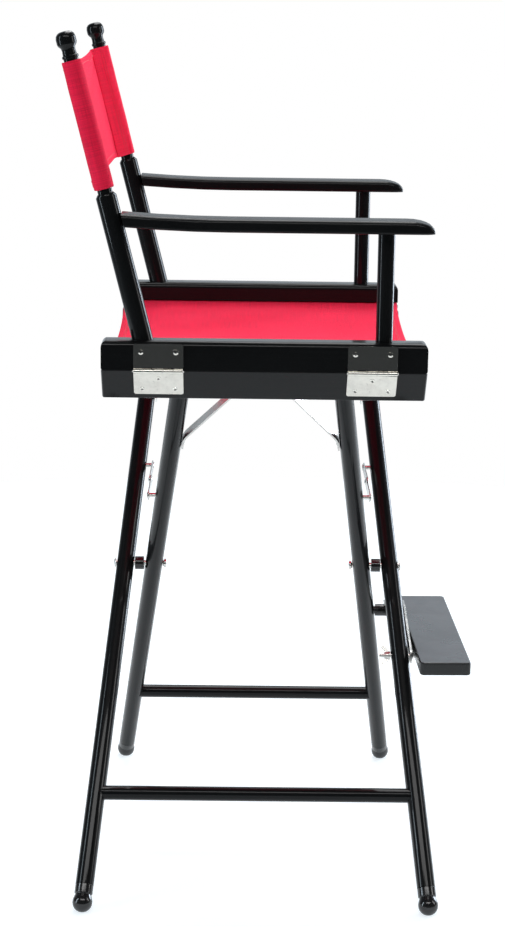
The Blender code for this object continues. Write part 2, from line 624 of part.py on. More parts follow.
def make_stays():
    """Front and rear lock stays: a link on each leg frame, meeting in the middle when the chair is open."""
    for end, sign in ENDS.items():
        for frame in FRAMES:
            s = FRAMES[frame][0]
            pin = leg_point(frame, end, STAY_Z)
            plane_y = STAY_PLANES[frame]
            bm = bmesh.new()
            radius = STAY_WIDTH / 2
            plane = ((s, 0, 0), (0, 0, 1))
            first = arc((pin.x, sign * plane_y, STAY_Z), radius, -90, 90, 8, plane)
            last = arc((0, sign * plane_y, STAY_Z), radius, 90, 270, 8, plane)
            add_prism(bm, first + last, (0, sign * STAY_THICK, 0))
            link = node(end + "_stay_" + frame, bm, "plated", pivot=(pin.x, sign * plane_y, STAY_Z))
            hole = bmesh.new()
            add_bore(hole, (pin.x, sign * (plane_y - 0.01), STAY_Z), (0, sign, 0), STAY_BORE, 0.03, 14)
            combine(link, hole, "DIFFERENCE")
            rivet = bmesh.new()
            face = plane_y + STAY_THICK - 0.0001 if frame == "outer" else plane_y + 0.0001
            way = sign if frame == "outer" else -sign
            profile = [(0, 0.005), (0.0009, 0.0042), (0.0017, 0.002)]
            add_lathe(rivet, (0, sign * face, STAY_Z), (0, way, 0), profile, 12)
            combine(link, rivet, "UNION")
            leg_y = abs(pin.y)
            stud = bmesh.new()
            if frame == "outer":
                surface = leg_y - LEG_RADIUS
                profile = [(0, 0), (0.0003, 0.0036), (0.001, 0.005), (0.0015, 0.005), (0.0016, 0.003),
                           (surface + 0.004 - plane_y + 0.0019, 0.003)]
                add_lathe(stud, (pin.x, sign * (plane_y - 0.0019), STAY_Z), (0, sign, 0), profile, 14)
            else:
                surface = leg_y + LEG_RADIUS
                top = plane_y + STAY_THICK + 0.0019
                profile = [(0, 0), (0.0003, 0.003), (0.0007, 0.0048), (0.0012, 0.0048), (0.0014, 0.003),
                           (top - surface + 0.004, 0.003)]
                add_lathe(stud, (pin.x, sign * top, STAY_Z), (0, -sign, 0), profile, 14)
            node(end + "_stay_pin_" + frame, stud, "plated")
            hole = bmesh.new()
            inset = -0.0043 if frame == "inner" else 0.0043
            away = -sign if frame == "outer" else sign
            add_bore(hole, (pin.x, sign * (surface + inset), STAY_Z), (0, away, 0), STAY_BORE, 0.02, 14)
            combine(bpy.data.objects[frame + "_leg_" + end], hole, "DIFFERENCE")


def make_footrest():
    """The board's bracket turns on a bolt in the outer front leg, and rests on a peg in the inner one."""
    bolt = leg_point("outer", "front", FOOTREST_BOLT_Z)
    peg = leg_point("inner", "front", PEG_Z)
    front_face = bolt.y - LEG_RADIUS
    plate_rear = front_face - 0.0014
    plate_front = plate_rear - BRACKET_THICK
    board_low = FOOTREST_TOP_Z - FOOTREST_THICK

    board = bmesh.new()
    half_length, half_depth = FOOTREST_LENGTH / 2, FOOTREST_DEPTH / 2
    add_box(board, (-half_length, -half_depth, board_low), (half_length, half_depth, FOOTREST_TOP_Z))
    bevel(board, 0.006, 3, lambda p, q: abs(p.z - q.z) > 0.01)
    bevel(board, 0.0022, 2, lambda p, q: abs(p.z - q.z) < 0.001)
    turn = Matrix.Rotation(FOOTREST_YAW, 4, "Z")
    centre = Vector((0.006, FOOTREST_NEAR_Y + half_length * sin(FOOTREST_YAW), 0))
    bmesh.ops.transform(board, matrix=Matrix.Translation(centre) @ turn, verts=board.verts)
    node("footrest_board", board, "wood", pivot=bolt)

    tab_z = PEG_Z + PEG_RADIUS + GAP
    low_z = board_low - GAP - BRACKET_THICK
    outline = [
        Vector((bolt.x - 0.012, plate_front, low_z)),
        Vector((0.062, plate_front, low_z)),
        Vector((peg.x + 0.012, plate_front, tab_z)),
        Vector((peg.x + 0.012, plate_front, tab_z + BRACKET_THICK)),
        Vector((peg.x - 0.02, plate_front, tab_z + BRACKET_THICK)),
        Vector((bolt.x + 0.004, plate_front, FOOTREST_BOLT_Z + 0.012)),
        Vector((bolt.x - 0.008, plate_front, FOOTREST_BOLT_Z + 0.010)),
        Vector((bolt.x - 0.012, plate_front, FOOTREST_BOLT_Z + 0.004)),
    ]
    plate = bmesh.new()
    add_prism(plate, outline, (0, plate_rear - plate_front, 0))
    bracket = node("footrest_bracket", plate, "plated", pivot=bolt)
    flange = bmesh.new()
    add_box(flange, (-0.07, -0.283, low_z), (0.06, plate_rear - 0.0001, low_z + BRACKET_THICK))
    combine(bracket, flange, "UNION")
    tab = bmesh.new()
    add_box(tab, (peg.x - 0.008, plate_front + 0.0001, tab_z),
            (peg.x + 0.0119, plate_rear + 0.028, tab_z + BRACKET_THICK - 0.0001))
    combine(bracket, tab, "UNION")
    hole = bmesh.new()
    add_bore(hole, (bolt.x, plate_front - 0.01, bolt.z), (0, 1, 0), BOLT_BORE, 0.03, 14)
    combine(bracket, hole, "DIFFERENCE")

    screws = bmesh.new()
    for x in (-0.055, 0.045):
        for y in (-0.240, -0.272):
            add_screw_head(screws, (x, y, low_z), (0, 0, -1), 0.0045)
    combine(bracket, screws, "UNION")

    pin = bmesh.new()
    span = bolt.y + LEG_RADIUS + 0.017 - plate_front
    profile = [(0, 0), (0.0002, 0.004), (0.0008, 0.0062), (0.0017, 0.0062), (0.0018, 0.003),
               (0.0018 + span, 0.003)]
    add_lathe(pin, (bolt.x, plate_front - 0.0020, bolt.z), (0, 1, 0), profile, 14)
    node("footrest_bolt", pin, "plated", pivot=bolt)
    leg = bpy.data.objects["outer_leg_front"]
    hole = bmesh.new()
    add_bore(hole, (bolt.x, bolt.y - 0.03, bolt.z), (0, 1, 0), STAY_BORE, 0.06, 14)
    combine(leg, hole, "DIFFERENCE")

    rear = bolt.y + LEG_RADIUS + 0.0012
    nut = bmesh.new()
    add_lathe(nut, (bolt.x, rear, bolt.z), (0, 1, 0), [(0, 0.0065), (0.002, 0.0062), (0.0085, 0.0048)], 20)
    wing_nut = node("wing_nut", nut, "plated", pivot=(bolt.x, rear, bolt.z))
    wings = bmesh.new()
    wing = [(0.0032, 0.0016), (0.0075, 0.0022), (0.0125, 0.0062), (0.0145, 0.0105), (0.0125, 0.0125),
            (0.0095, 0.0115), (0.006, 0.0075), (0.0032, 0.0066)]
    for way in (1, -1):
        outline = [Vector((bolt.x + way * a * 0.6, rear + b, bolt.z + way * a * 0.8)) for a, b in wing]
        across = Vector((-0.8, 0, 0.6)) * 0.0026
        add_prism(wings, [p - across / 2 for p in outline], across)
    combine(wing_nut, wings, "UNION")
    bore = bmesh.new()
    add_bore(bore, (bolt.x, rear - 0.01, bolt.z), (0, 1, 0), BOLT_BORE, 0.04, 14)
    combine(wing_nut, bore, "DIFFERENCE")

    rod_start = peg.y - LEG_RADIUS + 0.006
    reach = rod_start - plate_rear
    peg_mesh = bmesh.new()
    profile = [(0, 0.006), (0.0074, 0.006), (0.0075, PEG_RADIUS), (reach - 0.003, PEG_RADIUS),
               (reach - 0.001, PEG_RADIUS - 0.002)]
    add_lathe(peg_mesh, (peg.x, rod_start, peg.z), (0, -1, 0), profile)
    node("footrest_peg", peg_mesh, "plastic")
    hole = bmesh.new()
    add_bore(hole, (peg.x, rod_start + GAP, peg.z), (0, -1, 0), 0.0063, 0.03, 24)
    combine(bpy.data.objects["inner_leg_front"], hole, "DIFFERENCE")


for frame_name in FRAMES:
    make_frame(frame_name)
for side_name in SIDES:
    make_upper_rail(side_name)
    make_posts(side_name)
    make_armrest(side_name)
    for end_name in ENDS:
        make_hinge(side_name, end_name)
make_canvases()
make_pivots()
make_stays()
make_footrest()
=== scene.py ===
import json
from math import acos, atan, cos, pi, radians, sin, sqrt

import bmesh
import bpy
import numpy as np
from mathutils import Matrix, Vector, noise
from mathutils.bvhtree import BVHTree

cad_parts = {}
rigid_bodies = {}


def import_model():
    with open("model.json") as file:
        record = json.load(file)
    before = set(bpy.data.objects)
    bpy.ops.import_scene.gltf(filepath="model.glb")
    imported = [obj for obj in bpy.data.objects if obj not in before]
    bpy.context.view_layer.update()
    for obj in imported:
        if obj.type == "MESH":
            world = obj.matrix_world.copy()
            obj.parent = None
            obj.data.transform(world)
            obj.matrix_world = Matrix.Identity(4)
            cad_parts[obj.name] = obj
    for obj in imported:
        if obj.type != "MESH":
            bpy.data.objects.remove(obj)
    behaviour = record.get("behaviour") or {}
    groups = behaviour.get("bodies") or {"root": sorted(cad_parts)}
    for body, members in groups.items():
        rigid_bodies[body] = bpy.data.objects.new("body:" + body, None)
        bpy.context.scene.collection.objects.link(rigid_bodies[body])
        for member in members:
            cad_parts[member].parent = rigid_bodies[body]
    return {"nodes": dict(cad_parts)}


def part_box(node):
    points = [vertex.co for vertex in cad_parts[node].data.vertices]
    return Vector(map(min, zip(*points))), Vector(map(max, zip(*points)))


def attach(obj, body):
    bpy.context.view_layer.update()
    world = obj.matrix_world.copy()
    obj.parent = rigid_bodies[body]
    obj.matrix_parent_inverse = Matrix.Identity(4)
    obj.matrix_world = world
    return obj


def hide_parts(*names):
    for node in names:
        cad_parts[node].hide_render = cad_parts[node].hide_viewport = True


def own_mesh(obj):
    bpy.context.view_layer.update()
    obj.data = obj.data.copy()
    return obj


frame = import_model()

# Objects of Blender's default file aren't part of the chair.
for default in ("Cube", "Light", "Camera"):
    if default in bpy.data.objects:
        bpy.data.objects.remove(bpy.data.objects[default], do_unlink=True)
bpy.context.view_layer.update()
BODY_OF = {name: node.parent.name.removeprefix("body:") for name, node in frame["nodes"].items()}

# The chair's own lines, in metres and radians. The frame gives the rest.
LEAN = atan(0.308 / 0.406)          # a leg frame's angle from upright
POST_LEAN = atan(0.099 / 0.388)     # the back posts' angle from upright
SIDES = {"left": 1, "right": -1}
BODY_OF_SIDE = {"left": "left_arm", "right": "right_arm"}
RAIL_OUT_X = 0.292                  # outer face of the side rails
RAIL_SPLIT_Z = 0.7417               # where the lower rail's outer face starts

LEAF_FACE = 0.0021                  # a hinge leaf's outer face, from the rail's
SCREW_DOME = 0.0011                 # height of a screw head on its leaf
LEAF_HEIGHTS = {"upper": 0.031, "lower": 0.041}
LEAF_SCREWS = {                     # share of a leaf's width from its middle, and of its height
    "upper": ((-0.35, 0.66), (0.35, 0.66)),
    "lower": ((-0.335, 0.76), (0.335, 0.76), (0, 0.27)),
}
CROSS_ARM = 0.0023                  # a screw's cross recess, from its middle to the end of an arm
CROSS_HALF = 0.00062                # half the width of an arm
CROSS_DEPTH = 0.0009
CROSS_TAPER = 0.6                   # size of the recess at its bottom
CROSS_FIRST_TURN = 0.5              # radians, of a leaf's first screw
CROSS_NEXT_TURN = 1.1               # how much more each next screw is turned

MERGE_WITHIN = 0.000004             # points of a CAD mesh this close are one
FLAT_ANGLE = radians(0.6)           # faces this close in angle are one flat
EDGE_ANGLE = radians(38)            # edges sharper than this are rounded
SMOOTH_ANGLE = radians(32)          # faces meeting more gently than this are shaded as one surface

CLOTH = 0.0012                      # thickness of the canvas
HANG_FRAMES = 18                    # length of each cloth simulation
HANG_CAP = 0.004                    # how far it may move a point
STITCH_PITCH = 0.0034
STITCH_START = 0.12                 # where a stitch comes out of the cloth, as a share of the pitch
STITCH_SHOWN = 0.76                 # the share of the pitch that its thread shows
THREAD_RADIUS = 0.00034

SEAT_EDGE_GAP = 0.0005              # from the panel's side to the mouth of the rail's groove
SEAT_BELOW_TOP = 0.0053             # from the top of the seat's solid down to the grooves
SEAT_SAG = 0.0115                   # in the middle
SEAT_DIP = 0.0040                   # how far the front and rear edges draw in
SEAT_HEM = 0.013
SEAT_HEM_STITCHES = (0.72, 0.90)    # the hem's two stitch rows, as shares of the hem
LOOP_EASE = 0.0003                  # slack of a seat loop round its dowel
LOOP_GAP = 0.0004                   # between the seat panel's side and its loop

BACK_EASE = 0.0016                  # slack of a sleeve round its post
BACK_DIP = 0.0035                   # how far the top and bottom edges draw in
BACK_HEM = 0.012
BACK_HEM_STITCH = 0.85              # where the hem's stitches run, as a share of the hem
PANEL_HELD_IN = 0.030               # from a post's axis to where the back panel is held
PANEL_OVERLAP = 0.004               # of the panel and a sleeve, past that line
SLEEVE_TAIL = 0.027                 # from a post's axis to the sleeve's seam
SEAM_TUCK = 0.3 * CLOTH             # how far a sleeve's end sinks into the panel it is sewn to
SEAM_INSETS = (0.0035, 0.0095)      # the two stitch rows of a seam, from the sleeve's end
OFF_CLOTH = 0.02                    # how far from the cloth a stitch row is drawn before it is laid on
CLOTH_FACES = {"outer": 1, "inner": -1}

# Colours.
WHITE = (1.0, 1.0, 1.0)
COOL = (0.92, 1.0, 1.06)
COOL_LAMP = (0.78, 0.88, 1.0)
WORN_WOOD = (0.055, 0.042, 0.032, 1.0)
CANVAS_RED = (0.93, 0.013, 0.062)
FADED_RED = (0.96, 0.040, 0.105, 1.0)
LINT_PINK = (0.90, 0.42, 0.48, 1.0)
SHEEN_PINK = (1.0, 0.30, 0.42, 1.0)
THREAD_DARK = (0.42, 0.006, 0.022, 1.0)
THREAD_LIGHT = (0.78, 0.03, 0.07, 1.0)
WEAVE_PITCH = 0.00072               # one thread of the canvas

# The studio's lamps: name, place, where it points, width and height, watts and colour.
LAMPS = (
    ("front_key", (-2.4, 0.0, 2.9), (0, 0, 0.5), (3.0, 0.5), 34, WHITE),
    ("overhead", (0.9, 0.0, 3.0), (0, 0, 0.4), (1.2, 2.6), 62, WHITE),
    ("left_bank", (-0.9, 2.5, 1.1), (0, 0, 0.6), (0.30, 2.2), 30, (0.78, 0.90, 1.0)),
    ("right_bank", (1.6, -2.1, 1.1), (0, 0, 0.6), (0.5, 2.4), 72, COOL_LAMP),
    ("front_fill", (-0.5, -2.7, 1.6), (0, 0, 0.8), (0.5, 1.6), 16, WHITE),
)
FLOOR_RADIUS = 2.3
CAMERA_AT = (-2.992, 0.050, 1.232)
CAMERA_TURN = {"pitch": 0.2224, "yaw": 0.0080, "roll": 0.0131}
CAMERA_LENS = 83.0                  # millimetres, on a sensor 36 mm high

# The reflected room's brightness, against how far a direction points behind the chair (+X).
ROOM_DARK_TO = 0.15
ROOM_BRIGHT_FROM = 0.90
ROOM_DARK = 0.05
ROOM_BRIGHT = 0.62
ROOM_TINT = (0.88, 0.97, 1.05)


# ---------------------------------------------------------------- materials

class Nodes:
    """A short way to write one material's node tree."""

    def __init__(self, name):
        self.material = bpy.data.materials.new(name)
        self.material.use_nodes = True
        self.tree = self.material.node_tree
        self.shader = self.tree.nodes["Principled BSDF"]
        self.place = self.add("ShaderNodeAttribute", attribute_name="piece_co").outputs["Vector"]

    def add(self, kind, inputs=None, **settings):
        made = self.tree.nodes.new(kind)
        for key, value in settings.items():
            setattr(made, key, value)
        for key, value in (inputs or {}).items():
            self.set(made.inputs[key], value)
        return made

    def set(self, socket, value):
        if isinstance(value, bpy.types.NodeSocket):
            self.tree.links.new(value, socket)
        else:
            socket.default_value = value

    def shade(self, **values):
        for key, value in values.items():
            self.set(self.shader.inputs[key.replace("_", " ")], value)

    def stretch(self, scale):
        return self.add("ShaderNodeMapping", {"Vector": self.place, "Scale": scale}).outputs[0]

    def noise(self, scale, detail=3.0, roughness=0.5, stretch=None):
        vector = self.stretch(stretch) if stretch else self.place
        inputs = {"Vector": vector, "Scale": scale, "Detail": detail, "Roughness": roughness}
        return self.add("ShaderNodeTexNoise", inputs).outputs[0]

    def remap(self, value, low, high, to_low=0.0, to_high=1.0):
        inputs = {0: value, 1: low, 2: high, 3: to_low, 4: to_high}
        return self.add("ShaderNodeMapRange", inputs, interpolation_type="SMOOTHSTEP").outputs[0]

    def maths(self, operation, a, b=0.0):
        return self.add("ShaderNodeMath", {0: a, 1: b}, operation=operation).outputs[0]

    def mix(self, share, a, b):
        made = self.add("ShaderNodeMix", data_type="RGBA")
        self.set(made.inputs[0], share)
        self.set(made.inputs[6], a)
        self.set(made.inputs[7], b)
        return made.outputs[2]

    def bump(self, height, distance, strength=1.0, over=None):
        inputs = {"Height": height, "Distance": distance, "Strength": strength}
        if over is not None:
            inputs["Normal"] = over
        return self.add("ShaderNodeBump", inputs).outputs[0]

    def edge_mask(self, radius, low, high):
        """1 on sharp edges and 0 on flats, from how far a rounded normal turns from the real one."""
        rounded = self.add("ShaderNodeBevel", {"Radius": radius}, samples=4).outputs[0]
        real = self.add("ShaderNodeNewGeometry").outputs["Normal"]
        turned = self.add("ShaderNodeVectorMath", {0: rounded, 1: real}, operation="DOT_PRODUCT")
        return self.remap(turned.outputs["Value"], high, low)


def grey(value, tint=WHITE):
    return (value * tint[0], value * tint[1], value * tint[2], 1.0)


def lacquer(name, rough=0.34, coat_rough=0.045, tone=0.0035, coat_ior=1.25, coat=0.8, painted_top_reflection=0.0):
    """Black lacquer on hardwood: faint grain shows through a clear coat. Any grey given for the top is
    painted onto faces that point up, as a reflection of the bright room.
    """
    n = Nodes(name)
    grain = n.noise(1.0, 5.0, 0.6, stretch=(9.0, 420.0, 420.0))
    pores = n.noise(1.0, 2.0, 0.5, stretch=(26.0, 900.0, 900.0))
    cloud = n.noise(11.0, 3.0)
    specks = n.remap(n.noise(1500.0, 1.0), 0.70, 0.78)
    scuffs = n.remap(n.noise(60.0, 6.0, 0.75, stretch=(1.0, 3.0, 3.0)), 0.66, 0.80)
    patches = n.remap(n.noise(70.0, 4.0, 0.7), 0.52, 0.72)
    worn = n.maths("MULTIPLY", n.edge_mask(0.0009, 0.90, 0.985), patches)

    black = n.mix(grain, grey(tone, COOL), grey(tone * 1.9, COOL))
    dusty = n.mix(n.maths("MULTIPLY", specks, 0.30), black, grey(0.10))
    colour = n.mix(n.maths("MULTIPLY", worn, 0.45), dusty, WORN_WOOD)
    # Painted reflection: faces that point up are greyed as if they mirrored the bright room, mottled by
    # noise.
    if painted_top_reflection:
        normal = n.add("ShaderNodeNewGeometry").outputs["Normal"]
        facing = n.add("ShaderNodeSeparateXYZ", {0: normal})
        reflection_mottle = n.remap(n.noise(26.0, 5.0, 0.65), 0.30, 0.70, 0.75, 1.0)
        top = n.maths("MULTIPLY", n.remap(facing.outputs["Z"], 0.80, 0.97), reflection_mottle)
        colour = n.mix(top, colour, grey(painted_top_reflection, COOL))
    rubbed = n.maths("ADD", n.remap(cloud, 0.3, 0.7, rough - 0.05, rough + 0.07),
                     n.maths("MULTIPLY", scuffs, 0.12))

    ripples = n.noise(150.0, 2.0)
    wood = n.bump(grain, 0.00008, 0.55, over=n.bump(ripples, 0.00005, 0.15))
    fine = n.bump(pores, 0.00004, 0.4, over=wood)
    over_coat = n.bump(grain, 0.00004, 0.22, over=n.bump(ripples, 0.00005, 0.12))
    n.shade(Base_Color=colour, Roughness=rubbed, Normal=fine, Coat_Weight=coat,
            Coat_Roughness=coat_rough, Coat_Normal=over_coat, Coat_IOR=coat_ior, IOR=1.5,
            Specular_IOR_Level=0.06)
    return n.material


def bright_metal(name, colour, rough, brushed=(1.0, 1.0, 1.0), scratch=0.5):
    """Plated steel: a rolled or polished surface with hairlines, finger marks and dull spots."""
    n = Nodes(name)
    hairs = n.noise(420.0, 4.0, 0.7, stretch=brushed)
    cloud = n.noise(55.0, 4.0, 0.6)
    spots = n.remap(n.noise(240.0, 3.0, 0.6), 0.62, 0.74)
    worn = n.edge_mask(0.0004, 0.88, 0.98)
    dull = tuple(c * 0.90 for c in colour)
    plain = n.mix(n.remap(cloud, 0.35, 0.7), (*colour, 1.0), (*dull, 1.0))
    spotted = n.mix(n.maths("MULTIPLY", spots, 0.35), plain, grey(0.20, (1.0, 0.94, 0.86)))
    edged = n.mix(n.maths("MULTIPLY", worn, 0.5), spotted, grey(0.86))
    smudged = n.maths("ADD", n.remap(cloud, 0.3, 0.75, rough * 0.75, rough * 1.35),
                      n.maths("MULTIPLY", spots, 0.12))
    n.shade(Base_Color=edged, Metallic=1.0, Roughness=smudged,
            Normal=n.bump(hairs, 0.00003, scratch))
    return n.material


def black_plastic(name):
    """Moulded glossy nylon, with a faint moulding texture and scuffs."""
    n = Nodes(name)
    cells = n.noise(900.0, 2.0)
    scuffs = n.remap(n.noise(120.0, 5.0, 0.7), 0.58, 0.75)
    tone = n.mix(n.maths("MULTIPLY", scuffs, 0.5), grey(0.008), grey(0.045))
    rough = n.maths("ADD", n.remap(n.noise(30.0), 0.3, 0.7, 0.12, 0.20), n.maths("MULTIPLY", scuffs, 0.25))
    n.shade(Base_Color=tone, Roughness=rough, Normal=n.bump(cells, 0.00004, 0.4), IOR=1.53)
    return n.material


def canvas_material(name):
    """Dyed cotton duck in plain weave: each cell of the weave shows its warp or its weft thread."""
    n = Nodes(name)
    split = n.add("ShaderNodeSeparateXYZ", {0: n.place})
    waver = n.maths("MULTIPLY", n.maths("SUBTRACT", n.noise(260.0, 2.0), 0.5), 0.55)
    cells, hills = [], []
    for axis in ("X", "Y"):
        place = n.maths("ADD", n.maths("DIVIDE", split.outputs[axis], WEAVE_PITCH), waver)
        cells.append(n.maths("FLOOR", place))
        hills.append(n.maths("SINE", n.maths("MULTIPLY", n.maths("FRACT", place), pi)))
    parity = n.maths("MODULO", n.maths("ABSOLUTE", n.maths("ADD", cells[0], cells[1])), 2.0)
    over = n.maths("ADD", n.maths("MULTIPLY", hills[0], parity),
                   n.maths("MULTIPLY", hills[1], n.maths("SUBTRACT", 1.0, parity)))
    gaps = n.maths("MULTIPLY", n.maths("POWER", hills[0], 0.35), n.maths("POWER", hills[1], 0.35))
    weave = n.maths("MULTIPLY", over, gaps)
    warp = n.noise(1.0, 3.0, 0.6, stretch=(14.0, 900.0, 14.0))
    weft = n.noise(1.0, 3.0, 0.6, stretch=(900.0, 14.0, 14.0))
    slubs = n.maths("ADD", n.maths("MULTIPLY", warp, 0.5), n.maths("MULTIPLY", weft, 0.5))
    fade = n.noise(7.0, 4.0, 0.6)
    lint = n.remap(n.noise(2400.0, 1.0), 0.72, 0.80)

    def red(share):
        return grey(share, CANVAS_RED)

    # Painted shade: the colour darkens from each thread's rounded top down into the hollows between
    # threads.
    weave_shade = n.mix(n.remap(weave, 0.1, 0.8), red(0.55), red(1.0))
    yarn = n.mix(n.remap(slubs, 0.36, 0.64), weave_shade, red(1.08))
    shaded = n.mix(n.maths("MULTIPLY", n.maths("SUBTRACT", 1.0, parity), 0.12), yarn, red(0.72))
    faded = n.mix(n.maths("MULTIPLY", n.remap(fade, 0.4, 0.72), 0.16), shaded, FADED_RED)
    fuzzy = n.mix(n.maths("MULTIPLY", lint, 0.25), faded, LINT_PINK)
    thread = n.bump(weave, 0.00022, 0.7)
    rib = n.bump(slubs, 0.00030, 0.35, over=thread)
    n.shade(Base_Color=fuzzy, Roughness=n.remap(slubs, 0.3, 0.7, 0.78, 0.94), Normal=rib,
            Sheen_Weight=0.12, Sheen_Roughness=0.45, Sheen_Tint=SHEEN_PINK,
            Specular_IOR_Level=0.15)
    return n.material


def thread_material(name):
    """Twisted polyester sewing thread, a shade deeper than the canvas."""
    n = Nodes(name)
    ply = n.noise(1.0, 2.0, 0.5, stretch=(2600.0, 2600.0, 900.0))
    tone = n.mix(ply, THREAD_DARK, THREAD_LIGHT)
    n.shade(Base_Color=tone, Roughness=0.55, Normal=n.bump(ply, 0.00008, 0.6), Sheen_Weight=0.2)
    return n.material


WOOD = lacquer("black_lacquer")
# The footrest's top gets a painted reflection of the bright room.
BOARD = lacquer("footrest_lacquer", rough=0.30, coat_rough=0.12, tone=0.006, coat_ior=1.42, painted_top_reflection=0.11)
ARM_WOOD = lacquer("armrest_lacquer", rough=0.40, coat_rough=0.09, coat_ior=1.30, coat=0.35)
NICKEL = bright_metal("polished_nickel", (0.70, 0.68, 0.62), 0.10, scratch=0.10)
ZINC = bright_metal("bright_zinc", (0.70, 0.69, 0.66), 0.26, brushed=(0.08, 1.0, 1.0))
PLASTIC = black_plastic("black_nylon")
CANVAS = canvas_material("red_canvas")
THREAD = thread_material("red_thread")

SLOT_LOOKS = {"black_wood": WOOD, "plated_steel": ZINC, "dark_plate": NICKEL, "black_plastic": PLASTIC}
NODE_LOOKS = {"leaf": NICKEL, "armrest": ARM_WOOD, "footrest_board": BOARD}
EDGE_RADII = {"leaf": 0.00025, "rail": 0.0010, "armrest": 0.0010, "stay": 0.0002, "wing": 0.0002,
              "pin": 0.0002, "footrest_board": 0.0006}
PLAIN_EDGE_RADIUS = 0.0005


# ---------------------------------------------------------------- mesh tools

def link(name, mesh, material):
    made = bpy.data.objects.new(name, mesh)
    bpy.context.collection.objects.link(made)
    mesh.materials.clear()
    mesh.materials.append(material)
    return made


def settle(obj):
    """Applies every modifier of a piece to its mesh."""
    bpy.context.view_layer.update()
    graph = bpy.context.evaluated_depsgraph_get()
    mesh = bpy.data.meshes.new_from_object(obj.evaluated_get(graph), preserve_all_data_layers=True,
                                           depsgraph=graph)
    old = obj.data
    obj.modifiers.clear()
    obj.data = mesh
    bpy.data.meshes.remove(old)


def store(mesh, points):
    """Gives each point its place in the piece's own directions, which the materials read."""
    layer = mesh.attributes.get("piece_co") or mesh.attributes.new("piece_co", "FLOAT_VECTOR", "POINT")
    layer.data.foreach_set("vector", np.asarray(points, np.float32).ravel())


def own_directions(mesh):
    """Coordinates along a piece's longest, middle and shortest direction."""
    points = np.empty(len(mesh.vertices) * 3, np.float32)
    mesh.vertices.foreach_get("co", points)
    points = points.reshape(-1, 3).astype(float)
    centred = points - points.mean(axis=0)
    values, vectors = np.linalg.eigh(centred.T @ centred)
    vectors = vectors[:, np.argsort(values)[::-1]]
    for column in range(3):
        if vectors[np.argmax(np.abs(vectors[:, column])), column] < 0:
            vectors[:, column] *= -1
    store(mesh, centred @ vectors)


def refine(node, material, edge_radius, cutter=None):
    """A finished copy of one CAD node: flats joined, edges rounded, normals smoothed."""
    source = bpy.data.objects[node]
    bm = bmesh.new()
    bm.from_mesh(source.data)
    bmesh.ops.remove_doubles(bm, verts=bm.verts, dist=MERGE_WITHIN)
    bmesh.ops.dissolve_limit(bm, angle_limit=FLAT_ANGLE, verts=bm.verts, edges=bm.edges)
    mesh = bpy.data.meshes.new(node + "_finish")
    bm.to_mesh(mesh)
    bm.free()
    made = link(node + "_finish", mesh, material)
    if cutter is not None:
        cut = made.modifiers.new("recess", "BOOLEAN")
        cut.object = cutter
        cut.operation = "DIFFERENCE"
        cut.solver = "EXACT"
        cut.material_mode = "TRANSFER"
        settle(made)
        bpy.data.objects.remove(cutter, do_unlink=True)
    edge = made.modifiers.new("edge", "BEVEL")
    edge.width = edge_radius
    edge.segments = 2
    edge.limit_method = "ANGLE"
    edge.angle_limit = EDGE_ANGLE
    edge.harden_normals = False
    settle(made)
    own_directions(made.data)
    made.data.shade_smooth()
    made.data.set_sharp_from_angle(angle=SMOOTH_ANGLE)
    weigh = made.modifiers.new("normals", "WEIGHTED_NORMAL")
    weigh.keep_sharp = True
    settle(made)
    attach(made, BODY_OF[node])
    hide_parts(node)
    return made


# ---------------------------------------------------------------- hard pieces

def cross_cutter(places):
    """Cross recesses for screw heads: places are (centre, outward direction)."""
    bm = bmesh.new()
    arm, half = CROSS_ARM, CROSS_HALF
    outline = [(half, arm), (half, half), (arm, half), (arm, -half), (half, -half), (half, -arm),
               (-half, -arm), (-half, -half), (-arm, -half), (-arm, half), (-half, half), (-half, arm)]
    for index, (centre, out) in enumerate(places):
        turn = Matrix.Rotation(CROSS_FIRST_TURN + CROSS_NEXT_TURN * index, 4, "Z")
        facing = out.to_track_quat("Z", "Y").to_matrix().to_4x4()
        place = Matrix.Translation(centre) @ facing @ turn
        low, high = [], []
        for x, y in outline:
            low.append(bm.verts.new(place @ Vector((x * CROSS_TAPER, y * CROSS_TAPER, -CROSS_DEPTH))))
            high.append(bm.verts.new(place @ Vector((x, y, CROSS_DEPTH))))
        bm.faces.new(list(reversed(high)))
        bm.faces.new(low)
        for i in range(len(outline)):
            j = (i + 1) % len(outline)
            bm.faces.new((low[i], high[i], high[j], low[j]))
    bmesh.ops.recalc_face_normals(bm, faces=bm.faces)
    mesh = bpy.data.meshes.new("recess")
    bm.to_mesh(mesh)
    bm.free()
    return link("recess", mesh, PLASTIC)


def leaf_screws(side, level, end):
    """Where a hinge leaf's screw heads stand, and which way they face."""
    s = SIDES[side]
    low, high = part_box(side + "_" + level + "_leaf_" + end)
    middle = (low[1] + high[1]) / 2
    width = high[1] - low[1]
    height = LEAF_HEIGHTS[level]
    spots = []
    for y, share in LEAF_SCREWS[level]:
        if level == "upper":
            out = Vector((s, 0, 0))
            at = Vector((s * (RAIL_OUT_X + LEAF_FACE), middle, high[2] - (1 - share) * height))
        else:
            out = Vector((s * cos(LEAN), 0, -sin(LEAN)))
            down = Vector((-s * sin(LEAN), 0, -cos(LEAN)))
            corner = Vector((s * RAIL_OUT_X, middle, RAIL_SPLIT_Z)) + out * LEAF_FACE
            reach = (low[2] - corner.z) / down.z
            at = corner + down * (reach - (1 - share) * height)
        spots.append((at + out * SCREW_DOME + Vector((0, y * width, 0)), out))
    return spots


def by_word(table, name, otherwise):
    """The entry whose key is part of a node's name."""
    for word, value in table.items():
        if word in name:
            return value
    return otherwise


